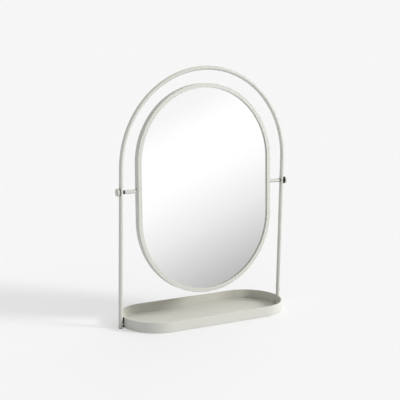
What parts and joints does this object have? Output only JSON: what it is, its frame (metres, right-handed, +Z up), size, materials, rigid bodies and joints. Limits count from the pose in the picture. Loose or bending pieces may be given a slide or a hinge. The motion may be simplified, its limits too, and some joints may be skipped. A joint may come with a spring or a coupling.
{
  "type": "tilting dressing-table mirror with tray base",
  "caption": "Free-standing table mirror: pill-shaped mirror pivoting between the legs of a round-topped tube arch, on a shallow pill-shaped open tray.",
  "frame": {"origin": "on the table, midway between the legs and under the middle of the tray", "axes": "+Z up, the mirror faces -Y, +X runs from the leg that is left in the picture to the one that is right"},
  "size_m": [0.3782, 0.137, 0.4877],
  "materials": {
    "powder_coat": "pale warm grey powder coat, satin, very fine orange peel",
    "silvered_glass": "clear silvered float glass",
    "rubber": "black moulded rubber, matt",
    "black_nylon": "black moulded nylon, matt",
    "plated_steel": "zinc plated steel",
    "foam": "thin closed-cell foam sheet",
    "board": "painted hardboard, dark grey, matt"
  },
  "bodies": {
    "stand": {"arch_tube": "powder_coat", "left_foot_plug": "rubber", "right_foot_plug": "rubber", "left_leg_slug": "plated_steel", "right_leg_slug": "plated_steel", "rim_band": "powder_coat", "tray_floor": "powder_coat", "tray_pads": "rubber", "left_tray_spacer": "powder_coat", "right_tray_spacer": "powder_coat", "left_leg_pads": "rubber", "right_leg_pads": "rubber", "left_tray_screw": "powder_coat", "right_tray_screw": "powder_coat", "left_pivot_bush": "black_nylon", "right_pivot_bush": "black_nylon", "left_outer_washer": "black_nylon", "right_outer_washer": "black_nylon"},
    "mirror": {"frame_ring": "powder_coat", "mirror_glass": "silvered_glass", "foam_sheet": "foam", "back_panel": "board", "back_tabs": "plated_steel", "left_pivot_rod": "powder_coat", "right_pivot_rod": "powder_coat"},
    "left_stud": {"left_knob_stud": "plated_steel"},
    "left_knob": {"left_knob": "powder_coat"},
    "right_stud": {"right_knob_stud": "plated_steel"},
    "right_knob": {"right_knob": "powder_coat"}
  },
  "joints": [
    {"name": "mirror_tilt", "type": "hinge", "parent": "stand", "child": "mirror", "pos_m": [0, 0, 0.2582], "axis": [1, 0, 0], "continuous": true},
    {"name": "left_stud_travel", "type": "slide", "parent": "mirror", "child": "left_stud", "axis": [-1, 0, 0], "range_m": [0, 0.00142]},
    {"name": "left_knob_turn", "type": "hinge", "parent": "left_stud", "child": "left_knob", "pos_m": [-0.1873, 0, 0.2582], "axis": [-1, 0, 0], "range_deg": [0, 720]},
    {"name": "right_stud_travel", "type": "slide", "parent": "mirror", "child": "right_stud", "axis": [1, 0, 0], "range_m": [0, 0.00142]},
    {"name": "right_knob_turn", "type": "hinge", "parent": "right_stud", "child": "right_knob", "pos_m": [0.1873, 0, 0.2582], "axis": [1, 0, 0], "range_deg": [0, 720]}
  ],
  "couplings": [
    {"joint": "left_stud_travel", "follows": "left_knob_turn", "m_per_rad": 0.00011141},
    {"joint": "right_stud_travel", "follows": "right_knob_turn", "m_per_rad": 0.00011141}
  ]
}
